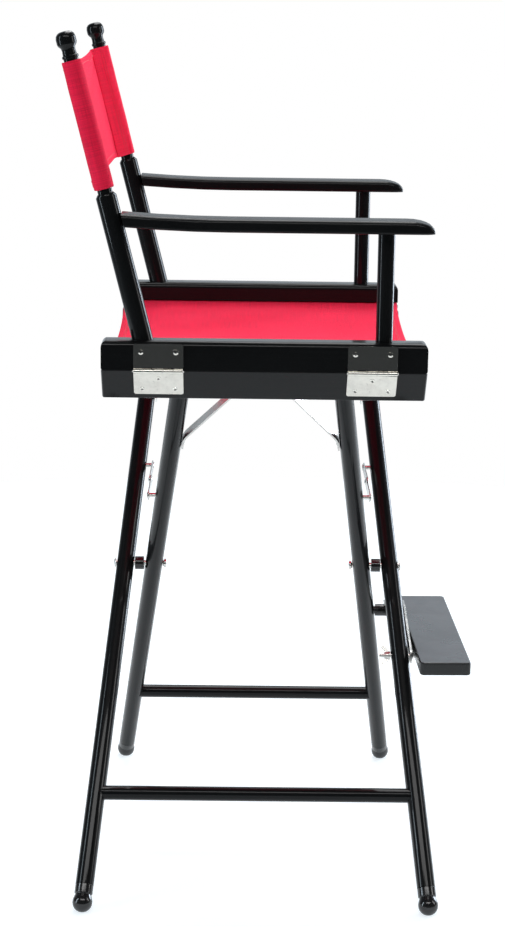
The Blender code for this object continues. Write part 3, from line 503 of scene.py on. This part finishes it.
def finish_hard_pieces():
    for name in sorted(BODY_OF):
        if "canvas" in name:
            continue
        slot = bpy.data.objects[name].data.materials[0].name.split(".")[0]
        cutter = None
        if "leaf" in name:
            side, level, _, end = name.split("_")
            cutter = cross_cutter(leaf_screws(side, level, end))
        look = by_word(NODE_LOOKS, name, SLOT_LOOKS[slot])
        made = refine(name, look, by_word(EDGE_RADII, name, PLAIN_EDGE_RADIUS), cutter)


# ---------------------------------------------------------------- canvases

def grid_mesh(name, across, along, place):
    """A sheet of quads over u and v from 0 to 1. place gives a point and its flat place in metres."""
    vertices, flat, faces = [], [], []
    for i in range(across + 1):
        for j in range(along + 1):
            point, at = place(i / across, j / along)
            vertices.append(point)
            flat.append((*at, 0.0))
    step = along + 1
    for i in range(across):
        for j in range(along):
            a = i * step + j
            faces.append((a, a + step, a + step + 1, a + 1))
    mesh = bpy.data.meshes.new(name)
    mesh.from_pydata(vertices, [], faces)
    store(mesh, flat)
    return mesh


def hang(obj, pinned, shrink):
    """Settles a held sheet by cloth simulation. pinned says which points are held; shrink < 0 is slack."""
    rest = np.array([v.co for v in obj.data.vertices], float)
    group = obj.vertex_groups.new(name="held")
    group.add([v.index for v in obj.data.vertices if pinned(v.co)], 1.0, "REPLACE")
    cloth = obj.modifiers.new("cloth", "CLOTH")
    settings = cloth.settings
    settings.quality = 6
    settings.mass = 0.35
    settings.tension_stiffness = 35
    settings.compression_stiffness = 35
    settings.shear_stiffness = 12
    settings.bending_stiffness = 4
    settings.vertex_group_mass = "held"
    settings.shrink_min = shrink
    cloth.collision_settings.use_collision = False
    cloth.point_cache.frame_start = 1
    cloth.point_cache.frame_end = HANG_FRAMES
    scene = bpy.context.scene
    for number in range(1, HANG_FRAMES + 1):
        scene.frame_set(number)
    settle(obj)
    moved = np.array([v.co for v in obj.data.vertices], float) - rest
    length = np.maximum(np.linalg.norm(moved, axis=1, keepdims=True), 1e-9)
    final = rest + moved * HANG_CAP * np.tanh(length / HANG_CAP) / length
    obj.data.vertices.foreach_set("co", final.astype(np.float32).ravel())
    scene.frame_set(1)


def thicken(obj, hemmed, hem_layers=2.0, rounds=1):
    """Turns a sheet into cloth of real thickness, doubled where hemmed says a hem is folded over."""
    group = obj.vertex_groups.new(name="hem")
    flat = obj.data.attributes["piece_co"].data
    for vertex in obj.data.vertices:
        at = flat[vertex.index].vector
        group.add([vertex.index], 1.0 if hemmed(at[0], at[1]) else 1.0 / hem_layers, "REPLACE")
    solid = obj.modifiers.new("cloth", "SOLIDIFY")
    solid.thickness = CLOTH * hem_layers
    solid.offset = 0.0
    solid.vertex_group = "hem"
    solid.use_even_offset = False
    if rounds:
        smooth = obj.modifiers.new("smooth", "SUBSURF")
        smooth.levels = rounds
        smooth.render_levels = rounds
    settle(obj)
    obj.vertex_groups.clear()
    obj.data.shade_smooth()


def stitch_ring(bm, flat, place, along, normal, lift):
    """One ring of points round a stitch's thread, thinner where the thread enters the cloth."""
    sides = 6
    size = THREAD_RADIUS * (0.55 + 0.45 * lift)
    across = along.cross(normal).normalized()
    hit, length, index = place
    centre = hit + normal * (THREAD_RADIUS * (1.5 * lift - 0.75))
    ring = []
    for k in range(sides):
        angle = 2 * pi * k / sides
        vert = bm.verts.new(centre + across * size * cos(angle) + normal * size * sin(angle))
        vert[flat] = Vector((length, angle * THREAD_RADIUS, index * 0.01))
        ring.append(vert)
    return ring


def join_rings(bm, rings):
    """The tube over a stitch's rings, closed at both ends."""
    sides = len(rings[0])
    for low, high in zip(rings, rings[1:]):
        for k in range(sides):
            m = (k + 1) % sides
            bm.faces.new((low[k], low[m], high[m], high[k]))
    bm.faces.new(list(reversed(rings[0])))
    bm.faces.new(rings[-1])


def stitches(name, tree, rows, out):
    """Rows of lock stitches laid on a surface. rows are (start, end) lines; out points off the cloth."""
    bm = bmesh.new()
    flat = bm.verts.layers.float_vector.new("piece_co")
    steps = 4
    for start, end in rows:
        start, end = Vector(start), Vector(end)
        length = (end - start).length
        along = (end - start).normalized()
        count = max(2, int(length / STITCH_PITCH))
        for index in range(count):
            rings = []
            for step in range(steps + 1):
                share = (index + STITCH_START + STITCH_SHOWN * step / steps) / count
                hit, normal, _, _ = tree.find_nearest(start.lerp(end, share))
                if normal.dot(out) < 0:
                    normal = -normal
                place = (hit, share * length, index)
                rings.append(stitch_ring(bm, flat, place, along, normal, sin(pi * step / steps)))
            join_rings(bm, rings)
    bmesh.ops.recalc_face_normals(bm, faces=bm.faces)
    mesh = bpy.data.meshes.new(name)
    bm.to_mesh(mesh)
    bm.free()
    mesh.shade_smooth()
    return link(name, mesh, THREAD)


def surface_of(obj):
    """A search tree over the surface of a piece."""
    vertices = [v.co.copy() for v in obj.data.vertices]
    faces = [tuple(p.vertices) for p in obj.data.polygons]
    return BVHTree.FromPolygons(vertices, faces)


def ripple(place, size, seed):
    """Smooth noise from -1 to 1 at a place; a larger size makes finer ripples."""
    return noise.noise(Vector(place) * size + Vector((seed, seed * 1.7, -seed)))


class SeatLines:
    """The seat canvas's lines, from the frame."""

    def __init__(self):
        low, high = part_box("seat_canvas")
        self.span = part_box("left_upper_rail")[0][0] - SEAT_EDGE_GAP
        self.level = high[2] - SEAT_BELOW_TOP
        self.middle = (low[1] + high[1]) / 2
        self.half = (high[1] - low[1]) / 2

    def bow(self, x):
        return 1 - (x / self.span) ** 2

    def reach(self, x):
        return self.half - SEAT_DIP * self.bow(x)

    def height(self, x):
        return self.level - SEAT_SAG * self.bow(x)


def seat_panel(seat):
    span, held_from = seat.span, 0.86

    def place(u, v):
        x = -span + 2 * span * u
        y = seat.middle + (2 * v - 1) * seat.reach(x)
        near_rail = max(0.0, abs(x) / span - held_from) / (1 - held_from)
        crimp = 0.0005 * near_rail * (1 - near_rail) * 4 * ripple((0, y, 0), 55, 3.1)
        wave = 0.0006 * seat.bow(x) * ripple((x, y * 0.6, 0), 9, 5.3)
        return (x, y, seat.height(x) + crimp + wave), (x, (2 * v - 1) * seat.half)

    panel = link("seat_canvas_panel", grid_mesh("seat_canvas_panel", 84, 76, place), CANVAS)
    hang(panel, lambda co: abs(co.x) > span - 0.004, -0.002)
    thicken(panel, lambda x, y: seat.half - abs(y) < SEAT_HEM)
    return panel


def seat_hem_rows(seat, stretches=12):
    """Two stitch rows along the front hem and two along the rear one."""
    short = 0.992               # the rows stop just before the rails
    rows = []
    for sign in (-1, 1):
        for share in SEAT_HEM_STITCHES:
            inset = SEAT_HEM * share
            ends = []
            for k in range(stretches + 1):
                x = -seat.span + 2 * seat.span * k / stretches
                reach = seat.reach(x)
                y = seat.middle + sign * (reach - inset * reach / seat.half)
                ends.append((x * short, y, seat.height(x) + 0.002))
            rows += zip(ends, ends[1:])
    return rows


def seat_loop(seat, side):
    """The canvas from a groove's mouth round the seat's dowel."""
    s = SIDES[side]
    low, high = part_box(side + "_seat_dowel")
    centre_x, centre_z = (low[0] + high[0]) / 2, (low[2] + high[2]) / 2
    radius = (high[2] - low[2]) / 2 + LOOP_EASE + CLOTH / 2
    mouth_x = s * (seat.span + LOOP_GAP)
    run_in = 0.22               # share of the loop's path before it meets the dowel
    first_angle, turn = 118, 280        # degrees, where the cloth meets the dowel and how far it goes round

    def place(u, v):
        y = seat.middle + (2 * v - 1) * seat.half
        if u < run_in:
            x = mouth_x + (centre_x - s * radius * 0.47 - mouth_x) * u / run_in
            return (x, y, seat.level - 0.0002), (x, y)
        angle = radians(first_angle - turn * (u - run_in) / (1 - run_in))
        point = (centre_x - s * radius * cos(angle), y, centre_z + radius * sin(angle))
        return point, (radius * angle, y)

    name = "seat_canvas_loop_" + side
    loop = link(name, grid_mesh(name, 30, 24, place), CANVAS)
    thicken(loop, lambda x, y: False, hem_layers=1.0, rounds=0)
    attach(loop, BODY_OF_SIDE[side])
    return loop


def make_seat():
    seat = SeatLines()
    panel = seat_panel(seat)
    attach(panel, "left_arm")
    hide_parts("seat_canvas")
    seam = stitches("seat_hem_stitches", surface_of(panel), seat_hem_rows(seat), Vector((0, 0, 1)))
    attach(seam, "left_arm")
    for piece in (panel, seam):
        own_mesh(piece)
    loops = [seat_loop(seat, side) for side in SIDES]


class BackLines:
    """The back canvas's lines, from the frame. t runs up the posts, and b to the rear of their axes."""

    def __init__(self):
        low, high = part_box("back_canvas")
        post_low, post_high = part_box("left_upper_post")
        self.post_x = (post_low[0] + post_high[0]) / 2
        tight = (high[0] - self.post_x) - CLOTH / 2
        self.radius = tight + BACK_EASE
        self.centre = Vector((0, (low[1] + high[1]) / 2, (low[2] + high[2]) / 2))
        self.along = Vector((0, sin(POST_LEAN), cos(POST_LEAN)))
        self.rear = Vector((0, cos(POST_LEAN), -sin(POST_LEAN)))
        self.length = (high[2] - low[2] - 2 * tight * sin(POST_LEAN)) / cos(POST_LEAN)
        self.held_x = self.post_x - PANEL_HELD_IN
        self.edge_x = self.held_x + PANEL_OVERLAP

    def bow(self, x):
        return 1 - (x / self.post_x) ** 2

    def point(self, x, t, b):
        return self.centre + Vector((x, 0, 0)) + self.along * t + self.rear * b


def back_panel(lines):
    edge_x, length = lines.edge_x, lines.length

    def place(u, v):
        x = -edge_x + 2 * edge_x * u
        bow = lines.bow(x)
        t = (2 * v - 1) * (length / 2 - BACK_DIP * bow)
        wave = 0.0010 * bow * ripple((x * 0.7, 0, t), 10, 2.2)
        pull = 0.0002 * (1 - bow) * ripple((x * 0.2, 0, t), 60, 7.7)
        return tuple(lines.point(x, t, lines.radius + wave + pull)), (x, (2 * v - 1) * length / 2)

    panel = link("back_canvas_panel", grid_mesh("back_canvas_panel", 96, 40, place), CANVAS)
    hang(panel, lambda co: abs(co.x) > lines.held_x - 0.001, -0.003)
    thicken(panel, lambda x, t: length / 2 - abs(t) < BACK_HEM)
    return panel


def back_sleeve(lines, side):
    """From the panel outwards, round the post, and straight back to the seam on the panel's front."""
    s, radius, post_x = SIDES[side], lines.radius, lines.post_x
    seam_b = radius - SEAM_TUCK
    to_seam = sqrt(SLEEVE_TAIL ** 2 + seam_b ** 2)
    straight = sqrt(to_seam ** 2 - radius ** 2)
    wrap = pi / 2 + atan(seam_b / SLEEVE_TAIL) + pi - acos(radius / to_seam)
    turn_end = pi / 2 - wrap
    whole = SLEEVE_TAIL + radius * wrap + straight

    def place(u, v):
        path = u * whole
        bow = lines.bow(post_x - max(0.0, SLEEVE_TAIL - path))
        t = (2 * v - 1) * (lines.length / 2 - BACK_DIP * bow * 0.5)
        around = path - SLEEVE_TAIL
        slack = 0.0007 * ripple((path * 2, 0, t), 34, 4.0 + s)
        if around < 0:
            fade = 1 + around / SLEEVE_TAIL
            x, b = post_x + around, radius + CLOTH * 1.05 * (1 - fade) + slack * fade
        elif around < radius * wrap:
            angle = pi / 2 - around / radius
            x, b = post_x + (radius + slack) * cos(angle), (radius + slack) * sin(angle)
        else:
            run = (around - radius * wrap) / straight
            x = post_x + radius * cos(turn_end) * (1 - run) - SLEEVE_TAIL * run
            b = radius * sin(turn_end) * (1 - run) + seam_b * run + slack * (1 - run)
        return tuple(lines.point(s * x, t, b)), (s * path, (2 * v - 1) * lines.length / 2)

    name = "back_canvas_sleeve_" + side
    sleeve = link(name, grid_mesh(name, 90, 40, place), CANVAS)
    thicken(sleeve, lambda x, t: False, hem_layers=1.0)
    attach(sleeve, BODY_OF_SIDE[side])
    return sleeve


def sleeve_stitches(lines, side, sleeve):
    """The seam that closes a sleeve, seen from both faces, and the sleeve's two hems."""
    s, tree = SIDES[side], surface_of(sleeve)
    seam_x = lines.post_x - SLEEVE_TAIL
    half = lines.length / 2 - 0.003
    made = []
    for word, face in CLOTH_FACES.items():
        b = lines.radius + face * OFF_CLOTH
        rows = []
        for inset in SEAM_INSETS:
            x = s * (seam_x + inset)
            rows.append((lines.point(x, -half, b), lines.point(x, half, b)))
        made.append(stitches("back_seam_" + side + "_" + word, tree, rows, lines.rear * face))
    rows = []
    for sign in (-1, 1):
        t = sign * (lines.length / 2 - BACK_HEM * BACK_HEM_STITCH)
        rows.append([lines.point(s * x, t, 0.03) for x in (seam_x + 0.002, lines.post_x + 0.002)])
    made.append(stitches("back_hem_" + side, tree, rows, lines.rear))
    for piece in made:
        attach(piece, BODY_OF_SIDE[side])
    return made


def panel_hem_rows(lines, face, stretches=10):
    """Stitch rows along the back panel's two hems."""
    rows = []
    for sign in (-1, 1):
        ends = []
        for k in range(stretches + 1):
            x = (-1 + 2 * k / stretches) * (lines.post_x - SLEEVE_TAIL)
            reach = lines.length / 2 - BACK_DIP * lines.bow(x)
            t = sign * (reach - BACK_HEM * BACK_HEM_STITCH)
            ends.append(lines.point(x, t, lines.radius + face * OFF_CLOTH))
        rows += zip(ends, ends[1:])
    return rows


def make_back():
    lines = BackLines()
    panel = back_panel(lines)
    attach(panel, "left_arm")
    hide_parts("back_canvas")
    sleeves, seams = [], []
    for side in SIDES:
        sleeve = back_sleeve(lines, side)
        sleeves.append(sleeve)
        seams += sleeve_stitches(lines, side, sleeve)
    tree = surface_of(panel)
    folding = [panel]
    for word, face in CLOTH_FACES.items():
        rows = panel_hem_rows(lines, face)
        seam = stitches("back_hem_middle_" + word, tree, rows, lines.rear * face)
        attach(seam, "left_arm")
        seams.append(seam)
        folding.append(seam)
    for piece in folding:
        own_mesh(piece)


# ---------------------------------------------------------------- studio

def area_light(name, place, target, size, power, colour):
    lamp = bpy.data.lights.new(name, "AREA")
    lamp.shape = "RECTANGLE"
    lamp.size, lamp.size_y = size
    lamp.energy = power
    lamp.color = colour
    made = bpy.data.objects.new(name, lamp)
    bpy.context.collection.objects.link(made)
    made.location = place
    made.rotation_euler = (Vector(target) - Vector(place)).to_track_quat("-Z", "Y").to_euler()
    made.visible_camera = False


def make_floor():
    """A round pale studio floor that looks as white as the backdrop around it."""
    bm = bmesh.new()
    bmesh.ops.create_circle(bm, cap_ends=True, segments=96, radius=FLOOR_RADIUS)
    mesh = bpy.data.meshes.new("studio_floor")
    bm.to_mesh(mesh)
    bm.free()
    n = Nodes("studio_white")
    tone = n.mix(n.noise(2.0), grey(0.46), grey(0.48))
    n.shade(Base_Color=tone, Roughness=0.9, Specular_IOR_Level=0.1,
            Emission_Color=grey(1.0, (0.93, 1.0, 1.04)), Emission_Strength=0.74)
    floor = link("studio_floor", mesh, n.material)
    floor.location = (0, 0, -0.0005)


def make_world():
    """White for the camera; for reflections a room that is bright behind the chair and dark in front."""
    world = bpy.data.worlds.new("studio")
    bpy.context.scene.world = world
    world.use_nodes = True
    tree = world.node_tree
    tree.nodes.clear()
    place = tree.nodes.new("ShaderNodeTexCoord")
    split = tree.nodes.new("ShaderNodeSeparateXYZ")
    tree.links.new(place.outputs["Generated"], split.inputs[0])
    share = tree.nodes.new("ShaderNodeMapRange")
    share.interpolation_type = "SMOOTHSTEP"
    tree.links.new(split.outputs["X"], share.inputs[0])
    for index, value in enumerate((ROOM_DARK_TO, ROOM_BRIGHT_FROM, ROOM_DARK, ROOM_BRIGHT), 1):
        share.inputs[index].default_value = value
    room = tree.nodes.new("ShaderNodeBackground")
    room.inputs["Color"].default_value = grey(1.0, ROOM_TINT)
    tree.links.new(share.outputs[0], room.inputs["Strength"])
    white = tree.nodes.new("ShaderNodeBackground")
    white.inputs["Color"].default_value = grey(1.0)
    white.inputs["Strength"].default_value = 1.0
    seen = tree.nodes.new("ShaderNodeLightPath")
    pick = tree.nodes.new("ShaderNodeMixShader")
    out = tree.nodes.new("ShaderNodeOutputWorld")
    tree.links.new(seen.outputs["Is Camera Ray"], pick.inputs[0])
    tree.links.new(room.outputs[0], pick.inputs[1])
    tree.links.new(white.outputs[0], pick.inputs[2])
    tree.links.new(pick.outputs[0], out.inputs["Surface"])


def make_camera():
    """From the chair's right side, 3 m away, looking a little down."""
    pitch, yaw, roll = CAMERA_TURN["pitch"], CAMERA_TURN["yaw"], CAMERA_TURN["roll"]
    forward = Vector((cos(pitch) * cos(yaw), -cos(pitch) * sin(yaw), -sin(pitch)))
    level = forward.cross(Vector((0, 0, 1))).normalized()
    upright = level.cross(forward)
    right = level * cos(roll) + upright * sin(roll)
    up = right.cross(forward)
    camera = bpy.data.cameras.new("camera")
    camera.sensor_fit = "VERTICAL"
    camera.sensor_height = 36.0
    camera.lens = CAMERA_LENS
    made = bpy.data.objects.new("camera", camera)
    bpy.context.collection.objects.link(made)
    turn = Matrix((right, up, -forward)).transposed()
    made.matrix_world = Matrix.Translation(CAMERA_AT) @ turn.to_4x4()
    bpy.context.scene.camera = made


finish_hard_pieces()
make_seat()
make_back()
make_floor()
make_world()
make_camera()
for lamp in LAMPS:
    area_light(*lamp)
bpy.context.scene.view_settings.view_transform = "Standard"
